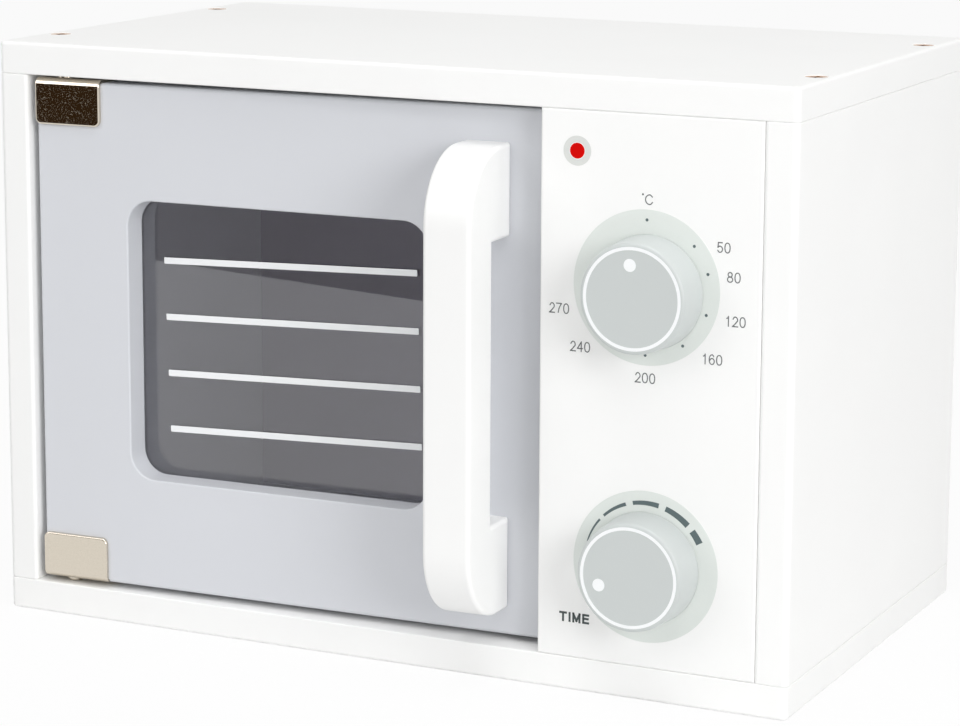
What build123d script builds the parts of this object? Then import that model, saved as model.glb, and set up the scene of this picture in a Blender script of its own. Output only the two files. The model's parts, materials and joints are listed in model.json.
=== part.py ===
from build123d import *
import os
from math import atan, cos, degrees, hypot, radians, sin

# Toy oven: a cabinet of white painted boards with a hinged window door and two dial knobs.
# Millimetres. The origin is the centre of the cabinet's underside, +Z is up, +X is to the right as
# seen from the front, and the front looks towards -Y.

# ---------------------------------------------------------------- driving dimensions

# Cabinet
cabinet_width = 290.0
cabinet_depth = 167.0
cabinet_height = 200.0
board_thickness = 11.0
board_corner = 2.0              # rounding of the cabinet's upright corners
board_round = 1.2               # rounding of the boards' open edges
seam_round = 0.5                # rounding of the edges where two boards meet
panel_width = 75.0              # control panel, to the right of the door
panel_round = 0.8
back_thickness = 3.0
back_inset = 4.0                # back panel's rear face, in from the boards' rear edges
groove_depth = 5.0
groove_clearance = 0.1

# Wood screws and dowels of the cabinet
board_screw_diameter = 4.0
board_screw_head = 7.3
board_screw_length = 32.0
board_screw_inset = 30.0        # from the front and rear faces
board_screw_sink = 0.2          # heads lie this far below the surface
hole_clearance = 0.05           # radial, round shanks, pins' seats, dowels and bushes
hole_end_clearance = 0.5        # hole deeper than what it takes
dowel_diameter = 6.0
dowel_depth = 7.0               # in each of the two boards that a dowel joins
panel_dowel_spacing = 40.0
divider_dowel_spacing = 80.0

# Heads of all screws
pan_height_share = 0.4          # height of a pan head, as a share of its diameter
cross_share = 0.55              # length of the cross recess, as a share of the head
cross_slenderness = 4.0         # length of the cross recess over its width and its depth

# Door
door_thickness = 11.0
door_round = 1.2
door_closed_angle = 1.8         # the closed door lies this many degrees past square, at its catch
pivot_depth = 7.3               # hinge axis, behind the cabinet's front
pivot_setback = 5.0             # hinge axis, behind the door's face
pivot_inset = 9.0               # hinge axis, in from the door's hinge edge
swing_clearance = 0.45          # between the swinging hinge edge and the side board
free_edge_gap = 1.5             # between the door's free edge and the control panel
window_hinge_margin = 35.0
window_free_margin = 42.0
window_bottom_margin = 38.3
window_top_margin = 39.2
window_corner = 9.0
window_round = 0.6

# Window pane, in a rebate at the rear of the door
pane_thickness = 1.5
pane_overlap = 8.0              # pane beyond the opening, all round
pane_corner = 3.0
pane_clearance = 0.25
rebate_extra = 0.1              # rebate deeper than the pane
pane_screw_inset = 4.0          # from the pane's edges

# Hinge clips, bent round the door's top and bottom edges, in notches
clip_width = 25.2
clip_height = 16.0
clip_thickness = 1.2
clip_corner = 2.2
clip_round = 0.6
clip_bend = 2.5                 # outer radius of the bends
clip_inner_bend = 0.2           # sharp, to take the notch's square edges
clip_clearance = 0.1
bottom_clip_sink = 1.0          # depth of the bottom clip's notch
top_clip_sink = 0.3             # depth of the top clip's notch
notch_clearance = 0.3           # between a clip and its notch's end
clip_screw_spacing = 12.0
clip_screw_drop = 5.0           # from the rear plate's free edge
bottom_pin_gap = 1.7            # between clip and board, for the pin's flange and shoulder
top_pin_gap = 0.8
shoulder_clearance = 0.2
pin_diameter = 3.0
pin_shoulder = 4.8
pin_flange = 6.4
pin_flange_share = 0.5          # flange's height, as a share of the space for flange and shoulder
pin_reach = 6.0                 # of the pin, into its bush
bush_diameter = 5.0
bush_length = 7.0
running_clearance = 0.05        # radial, of every shaft that turns

# Handle
handle_width = 16.5
handle_projection = 32.0
handle_grip = 17.7              # depth of the grip, front to rear
handle_foot = 30.4              # height of each foot on the door
handle_corner = 24.0
handle_foot_corner = 2.0
handle_round = 1.4
handle_free_margin = 20.8       # handle's middle, from the door's free edge
handle_bottom_margin = 9.4
handle_top_margin = 11.2
handle_screw_diameter = 4.0
handle_screw_head = 7.5
handle_screw_depth = 20.0       # in the foot

# Small screws of pane, clips, catch and strike plate
small_screw_diameter = 2.4
small_screw_head = 4.6
small_screw_depth = 6.0         # in the wood

# Magnet catch on the divider, strike plate on the door
catch_width = 12.0              # out from the divider
catch_length = 14.0             # front to rear
catch_height = 22.0
catch_ear = 8.0                 # each of the ears that are screwed down
catch_ear_thickness = 3.0
catch_gap = 0.3                 # between pole plates and strike plate
magnet_thickness = 5.0
magnet_height = 14.0
magnet_length = 10.0
pole_plate_thickness = 1.2
pole_plate_proud = 1.0          # in front of the housing
pole_plate_depth = 11.0         # in the housing
catch_round = 1.5
strike_width = 14.0
strike_height = 36.0
strike_thickness = 1.2
strike_corner = 2.0
strike_edge_margin = 2.5
strike_screw_spacing = 27.0

# Knobs, on axle screws through the control panel
knob_diameter = 36.6
knob_front_diameter = 35.2
knob_height = 13.5
knob_round = 1.2
knob_gap = 0.3                  # between knob and panel, and between washer and panel
temperature_knob_drop = 67.0    # axis below the cabinet's top
time_knob_rise = 44.0           # axis above the cabinet's underside
axle_diameter = 5.0
axle_head = 9.0
axle_depth = 10.0               # of the axle screw, in the knob
axle_tip = 1.0
washer_diameter = 13.0
washer_thickness = 1.0

# ---------------------------------------------------------------- places worked out from them

# Cabinet
front_y = -cabinet_depth / 2
rear_y = cabinet_depth / 2
inner_left_x = -cabinet_width / 2 + board_thickness
inner_right_x = cabinet_width / 2 - board_thickness
inner_width = inner_right_x - inner_left_x
inner_bottom_z = board_thickness
inner_top_z = cabinet_height - board_thickness
inner_height = inner_top_z - inner_bottom_z
inner_middle_z = (inner_bottom_z + inner_top_z) / 2

panel_left_x = inner_right_x - panel_width
panel_middle_x = inner_right_x - panel_width / 2
panel_middle_y = front_y + board_thickness / 2
panel_rear_y = front_y + board_thickness
back_middle_y = rear_y - back_inset - back_thickness / 2
divider_middle_x = panel_left_x + board_thickness / 2
divider_length = back_middle_y - back_thickness / 2 - panel_rear_y
divider_middle_y = panel_rear_y + divider_length / 2

board_screw_spacing_x = cabinet_width - board_thickness
board_screw_spacing_y = cabinet_depth - 2 * board_screw_inset
board_pilot_depth = board_screw_length + board_screw_sink - board_thickness + hole_end_clearance
panel_dowel_points = [(panel_middle_x + side * panel_dowel_spacing / 2, panel_middle_y)
                      for side in (-1, 1)]
divider_dowel_points = [(divider_middle_x, divider_middle_y + side * divider_dowel_spacing / 2)
                        for side in (-1, 1)]
dowel_points = panel_dowel_points + divider_dowel_points

# Door: drawn on planes parallel to its face, with x along the door from the hinge axis and y up
swing_radius = hypot(pivot_inset, pivot_setback + clip_clearance + clip_thickness)
pivot_x = inner_left_x + swing_radius + swing_clearance
pivot_y = front_y + pivot_depth
closed = radians(door_closed_angle)
along_door = Vector(cos(closed), sin(closed), 0)
out_of_door = Vector(sin(closed), -cos(closed), 0)
hinge_plane = Plane(origin=(pivot_x, pivot_y, 0), x_dir=along_door, z_dir=out_of_door)
door_face = hinge_plane.offset(pivot_setback)
door_rear = door_face.offset(-door_thickness)
out_axis = Axis(door_face.origin, out_of_door)

door_left = -pivot_inset
door_right = (panel_left_x - free_edge_gap - pivot_x) / cos(closed)
clip_wall = clip_clearance + clip_thickness
bottom_clip_seat = inner_bottom_z + bottom_pin_gap + clip_wall
top_clip_seat = inner_top_z - top_pin_gap - clip_wall
door_bottom = bottom_clip_seat - bottom_clip_sink
door_top = top_clip_seat + top_clip_sink
door_width = door_right - door_left
door_height = door_top - door_bottom
door_middle = (door_left + door_right) / 2
door_middle_z = (door_bottom + door_top) / 2

# Window and pane
window_width = door_width - window_hinge_margin - window_free_margin
window_height = door_height - window_bottom_margin - window_top_margin
window_middle = door_left + window_hinge_margin + window_width / 2
window_middle_z = door_bottom + window_bottom_margin + window_height / 2
pane_width = window_width + 2 * pane_overlap
pane_height = window_height + 2 * pane_overlap
rebate_depth = pane_thickness + rebate_extra
pane_points = [(window_middle + side * (pane_width / 2 - pane_screw_inset),
                window_middle_z + end * (pane_height / 2 - pane_screw_inset))
               for side in (-1, 1) for end in (-1, 1)]

# Handle
handle_middle = door_right - handle_free_margin
handle_bottom = door_bottom + handle_bottom_margin
handle_top = door_top - handle_top_margin
handle_gap = handle_projection - handle_grip
handle_points = [(handle_middle, handle_bottom + handle_foot / 2),
                 (handle_middle, handle_top - handle_foot / 2)]

# Hinge clips and pins
clip_middle = door_left + clip_width / 2
clip_screw_reach = clip_height - clip_wall - clip_screw_drop
clip_screw_x = [clip_middle + side * clip_screw_spacing / 2 for side in (-1, 1)]
clip_points = [(x, z) for x in clip_screw_x
               for z in (bottom_clip_seat + clip_screw_reach, top_clip_seat - clip_screw_reach)]
notch_width = clip_width + notch_clearance

# Strike plate and catch
strike_middle = door_right - strike_edge_margin - strike_width / 2
strike_points = [(strike_middle, inner_middle_z - strike_screw_spacing / 2),
                 (strike_middle, inner_middle_z + strike_screw_spacing / 2)]
strike_setback = door_thickness - pivot_setback + strike_thickness
strike_rear_y = (pivot_y + (door_right - strike_edge_margin) * sin(closed)
                 + strike_setback * cos(closed))
catch_front_y = strike_rear_y + catch_gap + pole_plate_proud
catch_middle_y = catch_front_y + catch_length / 2
catch_middle_x = panel_left_x - catch_width / 2
catch_slot_width = magnet_thickness + 2 * pole_plate_thickness + 2 * hole_clearance
pole_plate_shift = (magnet_thickness + pole_plate_thickness) / 2
catch_screw_shift = (catch_height + catch_ear) / 2
divider_face = Plane(origin=(panel_left_x, 0, 0), x_dir=(0, -1, 0), z_dir=(-1, 0, 0))
catch_points = [(-catch_middle_y, inner_middle_z - catch_screw_shift),
                (-catch_middle_y, inner_middle_z + catch_screw_shift)]

# Knobs
knob_points = {"temperature": (panel_middle_x, cabinet_height - temperature_knob_drop),
               "time": (panel_middle_x, time_knob_rise)}
knob_taper = degrees(atan((knob_diameter - knob_front_diameter) / 2 / knob_height))
axle_length = washer_thickness + knob_gap + board_thickness + knob_gap + axle_depth
panel_face = Plane(origin=(0, front_y, 0), x_dir=(1, 0, 0), z_dir=(0, -1, 0))

# ---------------------------------------------------------------- helpers

os.makedirs("parts", exist_ok=True)


def save(builder, name):
    """Label a finished piece and write its STEP file."""
    builder.part.label = name
    export_step(builder.part, f"parts/{name}.step")


def places_on(plane, points, mirror=1):
    """Locations on a plane at its own x, y points."""
    return [plane.location * Location((mirror * x, y, 0)) for x, y in points]


def places_inside_door(points, setback):
    """Locations this far behind the door's face that look into the oven."""
    inward = Plane(origin=door_face.offset(-setback).origin, x_dir=-along_door, z_dir=-out_of_door)
    return places_on(inward, points, mirror=-1)


def turned_screw(profile, head, top, crown_round):
    """Screw turned from half its section, with a cross recess in its head."""
    recess = head * cross_share
    with BuildPart() as screw:
        with BuildSketch(Plane.XZ):
            with BuildLine():
                Polyline(*profile, close=True)
            make_face()
        revolve(axis=Axis.Z)
        if crown_round > 0:
            fillet(screw.faces().sort_by(Axis.Z)[-1].edges(), radius=crown_round)
        with BuildSketch(Plane.XY.offset(top)):
            Rectangle(recess, recess / cross_slenderness)
            Rectangle(recess / cross_slenderness, recess)
        extrude(amount=-recess / cross_slenderness, mode=Mode.SUBTRACT)
    return screw.part


def pan_head_screw(diameter, head, length, tip):
    """Screw whose head stands on the XY plane and whose shank runs down from it."""
    top = head * pan_height_share
    profile = [(0, top), (head / 2, top), (head / 2, 0), (diameter / 2, 0),
               (diameter / 2, tip - length), (0, -length)]
    return turned_screw(profile, head, top, top / 2)


def countersunk_screw(diameter, head, length):
    """Screw whose flat head ends at the XY plane, with a 90 degree cone under it."""
    cone = (head - diameter) / 2
    profile = [(0, 0), (head / 2, 0), (diameter / 2, -cone),
               (diameter / 2, diameter - length), (0, -length)]
    return turned_screw(profile, head, 0, 0)


board_screw = countersunk_screw(board_screw_diameter, board_screw_head, board_screw_length)

# ---------------------------------------------------------------- cabinet boards

underside = Plane(origin=(0, 0, 0), x_dir=(1, 0, 0), z_dir=(0, 0, -1))
board_middle_plane = Plane.XY.offset(cabinet_height / 2)

# Planes of the upper and lower ends of the boards that stand, each with the sign of its y direction
board_ends = ((Plane.XY.offset(inner_top_z), 1), (underside.offset(-inner_bottom_z), -1))

# Bottom board: screw holes from below, and on its inner face a groove, dowel holes and a bush seat
with BuildPart() as bottom_board:
    with BuildSketch():
        RectangleRounded(cabinet_width, cabinet_depth, board_corner)
    extrude(amount=board_thickness)
    fillet(bottom_board.faces().sort_by(Axis.Z)[0].edges(), radius=board_round)
    fillet(bottom_board.faces().sort_by(Axis.Z)[-1].edges(), radius=seam_round)
    with Locations(underside):
        with GridLocations(board_screw_spacing_x, board_screw_spacing_y, 2, 2):
            CounterSinkHole(board_screw_diameter / 2 + hole_clearance,
                            board_screw_head / 2 + board_screw_sink + 2 * hole_clearance,
                            counter_sink_angle=90)
    with BuildSketch(Plane.XY.offset(inner_bottom_z)):
        with Locations((0, back_middle_y)):
            Rectangle(inner_width + 2 * groove_depth, back_thickness + 2 * groove_clearance)
    extrude(amount=-groove_depth, mode=Mode.SUBTRACT)
    with Locations(Plane.XY.offset(inner_bottom_z)):
        with Locations(*dowel_points):
            Hole(dowel_diameter / 2 + hole_clearance, depth=dowel_depth + hole_end_clearance)
        with Locations((pivot_x, pivot_y)):
            Hole(bush_diameter / 2 + hole_clearance, depth=bush_length)
save(bottom_board, "bottom_board")

# Top board: the bottom board's mirror image
with BuildPart() as top_board:
    mirror(bottom_board.part, about=board_middle_plane)
save(top_board, "top_board")

# Left side board, with screw holes in both ends and a groove for the back panel
with BuildPart() as left_side_board:
    with BuildSketch(Plane.XY.offset(inner_bottom_z)) as side_outline:
        with Locations((inner_left_x - board_thickness / 2, 0)):
            Rectangle(board_thickness, cabinet_depth)
        fillet(side_outline.vertices().group_by(Axis.X)[0], radius=board_corner)
        fillet(side_outline.vertices().group_by(Axis.X)[-1], radius=board_round)
    extrude(amount=inner_height)
    fillet(left_side_board.faces().sort_by(Axis.Z)[0].edges(), radius=seam_round)
    fillet(left_side_board.faces().sort_by(Axis.Z)[-1].edges(), radius=seam_round)
    with BuildSketch(Plane.XY.offset(inner_bottom_z)):
        with Locations((inner_left_x - groove_depth / 2, back_middle_y)):
            Rectangle(groove_depth, back_thickness + 2 * groove_clearance)
    extrude(amount=inner_height, mode=Mode.SUBTRACT)
    for end_plane, _ in board_ends:
        with Locations(end_plane):
            with Locations((-board_screw_spacing_x / 2, -board_screw_spacing_y / 2),
                           (-board_screw_spacing_x / 2, board_screw_spacing_y / 2)):
                Hole(board_screw_diameter / 2 + hole_clearance, depth=board_pilot_depth)
save(left_side_board, "left_side_board")

# Right side board: the left one's mirror image
with BuildPart() as right_side_board:
    mirror(left_side_board.part, about=Plane.YZ)
save(right_side_board, "right_side_board")

# Back panel, held in the grooves
with BuildPart() as back_panel:
    with BuildSketch(Plane.XY.offset(inner_bottom_z - groove_depth + groove_clearance)):
        with Locations((0, back_middle_y)):
            Rectangle(inner_width + 2 * (groove_depth - groove_clearance), back_thickness)
    extrude(amount=inner_height + 2 * (groove_depth - groove_clearance))
save(back_panel, "back_panel")

# Divider board, between the oven space and the space behind the knobs
with BuildPart() as divider_board:
    with BuildSketch(Plane.XY.offset(inner_bottom_z)):
        with Locations((divider_middle_x, divider_middle_y)):
            Rectangle(board_thickness, divider_length)
    extrude(amount=inner_height)
    for end_plane, flip in board_ends:
        with Locations(end_plane):
            with Locations(*[(x, flip * y) for x, y in divider_dowel_points]):
                Hole(dowel_diameter / 2 + hole_clearance, depth=dowel_depth + hole_end_clearance)
    with Locations(*places_on(divider_face, catch_points)):
        Hole(small_screw_diameter / 2 + hole_clearance, depth=small_screw_depth + hole_end_clearance)
save(divider_board, "divider_board")

# Control panel, flush with the cabinet's front, bored for the two axle screws
with BuildPart() as control_panel:
    with BuildSketch(panel_face):
        with Locations((panel_middle_x, inner_middle_z)):
            Rectangle(panel_width, inner_height)
    extrude(amount=-board_thickness)
    fillet(control_panel.faces().sort_by(Axis.Y)[0].edges(), radius=panel_round)
    for end_plane, flip in board_ends:
        with Locations(end_plane):
            with Locations(*[(x, flip * y) for x, y in panel_dowel_points]):
                Hole(dowel_diameter / 2 + hole_clearance, depth=dowel_depth + hole_end_clearance)
    with Locations(*places_on(panel_face, knob_points.values())):
        Hole(axle_diameter / 2 + running_clearance, depth=board_thickness)
save(control_panel, "control_panel")

# Dowels between top and bottom boards and what stands between them
with BuildPart() as dowels:
    for joint_z in (inner_bottom_z, inner_top_z):
        with BuildSketch(Plane.XY.offset(joint_z)):
            with Locations(*dowel_points):
                Circle(dowel_diameter / 2)
        extrude(amount=dowel_depth, both=True)
save(dowels, "dowels")

# Wood screws of the bottom and top boards
with BuildPart() as bottom_board_screws:
    with Locations(underside.offset(-board_screw_sink)):
        with GridLocations(board_screw_spacing_x, board_screw_spacing_y, 2, 2):
            add(board_screw)
save(bottom_board_screws, "bottom_board_screws")

with BuildPart() as top_board_screws:
    mirror(bottom_board_screws.part, about=board_middle_plane)
save(top_board_screws, "top_board_screws")

# ---------------------------------------------------------------- door

# Door board: window opening, rebate for the pane, and screw holes from the rear
with BuildPart() as door_board:
    with BuildSketch(door_face):
        with Locations((door_middle, door_middle_z)):
            Rectangle(door_width, door_height)
    extrude(amount=-door_thickness)
    fillet(door_board.faces().sort_by(out_axis)[-1].edges(), radius=door_round)
    fillet(door_board.faces().sort_by(out_axis)[0].edges(), radius=door_round)
    with BuildSketch(door_face):
        with Locations((window_middle, window_middle_z)):
            RectangleRounded(window_width, window_height, window_corner)
    extrude(amount=-door_thickness, mode=Mode.SUBTRACT)
    fillet(door_board.faces().sort_by(out_axis)[-1].inner_wires()[0].edges(), radius=window_round)
    with BuildSketch(door_rear):
        with Locations((window_middle, window_middle_z)):
            RectangleRounded(pane_width + 2 * pane_clearance, pane_height + 2 * pane_clearance,
                             pane_corner)
    extrude(amount=rebate_depth, mode=Mode.SUBTRACT)
    with BuildSketch(door_face):
        for seat_z, edge_z in ((bottom_clip_seat, door_bottom), (top_clip_seat, door_top)):
            with Locations((door_left + notch_width / 2, (seat_z + edge_z) / 2)):
                Rectangle(notch_width, abs(edge_z - seat_z))
    extrude(amount=-door_thickness, mode=Mode.SUBTRACT)
    with Locations(*places_inside_door(pane_points, door_thickness)):
        Hole(small_screw_diameter / 2 + hole_clearance,
             depth=rebate_depth + small_screw_depth + hole_end_clearance)
    with Locations(*places_inside_door(clip_points + strike_points, door_thickness)):
        Hole(small_screw_diameter / 2 + hole_clearance, depth=small_screw_depth + hole_end_clearance)
    with Locations(*places_inside_door(handle_points, door_thickness)):
        Hole(handle_screw_diameter / 2 + hole_clearance, depth=door_thickness)
save(door_board, "door_board")

# Window pane
with BuildPart() as window_pane:
    with BuildSketch(door_rear.offset(rebate_depth)):
        with Locations((window_middle, window_middle_z)):
            RectangleRounded(pane_width, pane_height, pane_corner)
    extrude(amount=-pane_thickness)
    with Locations(*places_inside_door(pane_points, door_thickness - rebate_extra)):
        Hole(small_screw_diameter / 2 + hole_clearance, depth=pane_thickness)
save(window_pane, "window_pane")

pane_screw = pan_head_screw(small_screw_diameter, small_screw_head,
                            small_screw_depth + pane_thickness, small_screw_diameter)
with BuildPart() as pane_screws:
    with Locations(*places_inside_door(pane_points, door_thickness - rebate_extra)):
        add(pane_screw)
save(pane_screws, "pane_screws")

# Handle: a grip between two feet, cut from one piece of thick board
handle_side = Plane(origin=door_face.from_local_coords((handle_middle, 0, 0)),
                    x_dir=out_of_door, z_dir=-along_door)
with BuildPart() as door_handle:
    with BuildSketch(handle_side) as handle_outline:
        with BuildLine():
            Polyline((0, handle_bottom), (handle_projection, handle_bottom),
                     (handle_projection, handle_top), (0, handle_top),
                     (0, handle_top - handle_foot), (handle_gap, handle_top - handle_foot),
                     (handle_gap, handle_bottom + handle_foot), (0, handle_bottom + handle_foot),
                     close=True)
        make_face()
        corners = handle_outline.vertices().group_by(Axis.X)
        fillet(corners[-1], radius=handle_corner)
        fillet(corners[0] + corners[1], radius=handle_foot_corner)
    extrude(amount=handle_width / 2, both=True)
    along_axis = Axis(handle_side.origin, along_door)
    fillet(door_handle.faces().sort_by(along_axis)[0].edges(), radius=handle_round)
    fillet(door_handle.faces().sort_by(along_axis)[-1].edges(), radius=handle_round)
    with Locations(*places_inside_door(handle_points, 0)):
        Hole(handle_screw_diameter / 2 + hole_clearance,
             depth=handle_screw_depth + hole_end_clearance)
save(door_handle, "door_handle")

handle_screw = pan_head_screw(handle_screw_diameter, handle_screw_head,
                              handle_screw_depth + door_thickness, handle_screw_diameter)
with BuildPart() as handle_screws:
    with Locations(*places_inside_door(handle_points, door_thickness)):
        add(handle_screw)
save(handle_screws, "handle_screws")

# ---------------------------------------------------------------- hinge

clip_section = Plane(origin=door_face.from_local_coords((clip_middle, 0, 0)),
                     x_dir=out_of_door, z_dir=-along_door)
clip_front = clip_wall
clip_rear = -door_thickness - clip_wall

for clip_name, notch_z, inward in (("bottom_hinge_clip", bottom_clip_seat, 1),
                                   ("top_hinge_clip", top_clip_seat, -1)):
    bend_z = notch_z - inward * clip_wall
    seat_z = notch_z - inward * clip_clearance
    free_z = bend_z + inward * clip_height
    with BuildPart() as hinge_clip:
        with BuildSketch(clip_section) as channel:
            with BuildLine():
                Polyline((clip_front, free_z), (clip_front, bend_z), (clip_rear, bend_z),
                         (clip_rear, free_z), (clip_rear + clip_thickness, free_z),
                         (clip_rear + clip_thickness, seat_z),
                         (clip_front - clip_thickness, seat_z),
                         (clip_front - clip_thickness, free_z), close=True)
            make_face()
            bends = channel.vertices().group_by(Axis.Y)[::inward]
            fillet(bends[0], radius=clip_bend)
            fillet(bends[1], radius=clip_inner_bend)
        extrude(amount=clip_width / 2, both=True)
        free_corners = hinge_clip.edges().filter_by(out_axis).group_by(Axis.Z)[::inward][-1]
        fillet(free_corners, radius=clip_corner)
        front_plate = hinge_clip.faces().sort_by(out_axis)[-1]
        fillet(front_plate.edges().group_by(Axis.Z)[::inward][-1], radius=clip_round)
        with Locations((pivot_x, pivot_y, max(seat_z, bend_z))):
            Hole(pin_diameter / 2 + hole_clearance, depth=clip_thickness)
        screw_z = notch_z + inward * clip_screw_reach
        with Locations(*places_inside_door([(x, screw_z) for x in clip_screw_x],
                                           door_thickness + clip_wall)):
            Hole(small_screw_diameter / 2 + hole_clearance, depth=clip_thickness)
    save(hinge_clip, clip_name)

clip_screw = pan_head_screw(small_screw_diameter, small_screw_head,
                            small_screw_depth + clip_wall, small_screw_diameter)
with BuildPart() as clip_screws:
    with Locations(*places_inside_door(clip_points, door_thickness + clip_wall)):
        add(clip_screw)
save(clip_screws, "clip_screws")

# Hinge pins: a flange and a shoulder beside each clip, and a pin that turns in its bush
with BuildPart() as hinge_pins:
    for board_z, gap, outward in ((inner_bottom_z, bottom_pin_gap, -1), (inner_top_z, top_pin_gap, 1)):
        clip_z = board_z - outward * gap
        for diameter, share in ((pin_flange, pin_flange_share), (pin_shoulder, 1)):
            with BuildSketch(Plane.XY.offset(clip_z)):
                with Locations((pivot_x, pivot_y)):
                    Circle(diameter / 2)
            extrude(amount=outward * (gap - shoulder_clearance) * share)
        with BuildSketch(Plane.XY.offset(clip_z - outward * clip_thickness)):
            with Locations((pivot_x, pivot_y)):
                Circle(pin_diameter / 2)
        extrude(amount=outward * (clip_thickness + gap + pin_reach))
save(hinge_pins, "hinge_pins")

# Bushes of the hinge pins, in bottom and top boards
with BuildPart() as hinge_bushes:
    for board_z, outward in ((inner_bottom_z, -1), (inner_top_z, 1)):
        with BuildSketch(Plane.XY.offset(board_z)):
            with Locations((pivot_x, pivot_y)):
                Circle(bush_diameter / 2)
                Circle(pin_diameter / 2 + running_clearance, mode=Mode.SUBTRACT)
        extrude(amount=outward * bush_length)
save(hinge_bushes, "hinge_bushes")

# ---------------------------------------------------------------- magnet catch

# Strike plate at the rear of the door
with BuildPart() as strike_plate:
    with BuildSketch(door_rear):
        with Locations((strike_middle, inner_middle_z)):
            RectangleRounded(strike_width, strike_height, strike_corner)
    extrude(amount=-strike_thickness)
    with Locations(*places_inside_door(strike_points, door_thickness + strike_thickness)):
        CounterSinkHole(small_screw_diameter / 2 + hole_clearance,
                        small_screw_head / 2 + hole_clearance, counter_sink_angle=90)
save(strike_plate, "strike_plate")

strike_screw = countersunk_screw(small_screw_diameter, small_screw_head,
                                 small_screw_depth + strike_thickness)
with BuildPart() as strike_screws:
    with Locations(*places_inside_door(strike_points, door_thickness + strike_thickness)):
        add(strike_screw)
save(strike_screws, "strike_screws")

# Housing with two ears, screwed to the divider, and a pocket for magnet and pole plates
catch_front = Plane(origin=(0, catch_front_y, 0), x_dir=(1, 0, 0), z_dir=(0, -1, 0))
with BuildPart() as catch_housing:
    with BuildSketch(catch_front):
        with Locations((catch_middle_x, inner_middle_z)):
            Rectangle(catch_width, catch_height)
    extrude(amount=-catch_length)
    fillet(catch_housing.edges().filter_by(Axis.Y).group_by(Axis.X)[0], radius=catch_round)
    with BuildSketch(divider_face):
        with Locations((-catch_middle_y, inner_middle_z)):
            RectangleRounded(catch_length, catch_height + 2 * catch_ear, catch_round)
    extrude(amount=catch_ear_thickness)
    with BuildSketch(catch_front):
        with Locations((catch_middle_x, inner_middle_z)):
            Rectangle(catch_slot_width, magnet_height + 2 * hole_clearance)
    extrude(amount=-pole_plate_depth - hole_clearance, mode=Mode.SUBTRACT)
    with Locations(*places_on(divider_face.offset(catch_ear_thickness), catch_points)):
        Hole(small_screw_diameter / 2 + hole_clearance, depth=catch_ear_thickness)
save(catch_housing, "catch_housing")

with BuildPart() as catch_magnet:
    with BuildSketch(catch_front):
        with Locations((catch_middle_x, inner_middle_z)):
            Rectangle(magnet_thickness, magnet_height)
    extrude(amount=-magnet_length)
save(catch_magnet, "catch_magnet")

with BuildPart() as catch_pole_plates:
    with BuildSketch(catch_front.offset(pole_plate_proud)):
        with Locations((catch_middle_x - pole_plate_shift, inner_middle_z),
                       (catch_middle_x + pole_plate_shift, inner_middle_z)):
            Rectangle(pole_plate_thickness, magnet_height)
    extrude(amount=-pole_plate_proud - pole_plate_depth)
save(catch_pole_plates, "catch_pole_plates")

catch_screw = pan_head_screw(small_screw_diameter, small_screw_head,
                             small_screw_depth + catch_ear_thickness, small_screw_diameter)
with BuildPart() as catch_screws:
    with Locations(*places_on(divider_face.offset(catch_ear_thickness), catch_points)):
        add(catch_screw)
save(catch_screws, "catch_screws")

# ---------------------------------------------------------------- knobs

axle_screw = pan_head_screw(axle_diameter, axle_head, axle_length, axle_tip)

for knob_name, (knob_x, knob_z) in knob_points.items():
    knob_seat = Plane(origin=(knob_x, front_y - knob_gap, knob_z), x_dir=(1, 0, 0), z_dir=(0, -1, 0))
    washer_seat = Plane(origin=(knob_x, panel_rear_y + knob_gap, knob_z), x_dir=(-1, 0, 0),
                        z_dir=(0, 1, 0))
    axle_seat = washer_seat.offset(washer_thickness)
    with BuildPart() as knob:
        with BuildSketch(knob_seat):
            Circle(knob_diameter / 2)
        extrude(amount=knob_height, taper=knob_taper)
        fillet(knob.faces().sort_by(Axis.Y)[0].edges(), radius=knob_round)
        with Locations(Plane(origin=knob_seat.origin, x_dir=(-1, 0, 0), z_dir=(0, 1, 0))):
            Hole(axle_diameter / 2 + hole_clearance, depth=axle_depth + hole_end_clearance)
    save(knob, f"{knob_name}_knob")
    with BuildPart() as knob_washer:
        with BuildSketch(washer_seat):
            Circle(washer_diameter / 2)
            Circle(axle_diameter / 2 + hole_clearance, mode=Mode.SUBTRACT)
        extrude(amount=washer_thickness)
    save(knob_washer, f"{knob_name}_knob_washer")
    with BuildPart() as knob_axle_screw:
        with Locations(axle_seat):
            add(axle_screw)
    save(knob_axle_screw, f"{knob_name}_knob_screw")
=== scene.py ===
"""Toy oven: finishes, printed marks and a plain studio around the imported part.

Every piece is in metres in the part's own frame: +X is to the right as seen from the front, the
front looks towards -Y and +Z is up. The cabinet's underside stands on z = 0.
"""

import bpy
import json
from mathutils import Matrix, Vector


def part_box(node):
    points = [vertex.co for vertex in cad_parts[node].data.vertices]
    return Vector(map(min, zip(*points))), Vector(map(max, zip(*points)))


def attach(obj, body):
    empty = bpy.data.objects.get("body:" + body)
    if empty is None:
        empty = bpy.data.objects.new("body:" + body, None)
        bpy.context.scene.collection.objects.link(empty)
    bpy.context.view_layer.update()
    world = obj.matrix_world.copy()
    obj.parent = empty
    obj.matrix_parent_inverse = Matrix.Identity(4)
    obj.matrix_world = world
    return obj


bl_info = {
    "name": "Toy oven",
    "version": (1, 0, 0),
    "blender": (4, 5, 0),
    "location": "3D View > Sidebar > Toy oven",
    "description": "Paint, metal, smoked pane, printed dials and studio of a wooden toy oven",
    "category": "Object",
}

import json
import math
from contextlib import contextmanager

import bpy
from bpy.props import FloatProperty, FloatVectorProperty, IntProperty, PointerProperty
from mathutils import Matrix, Vector

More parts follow.
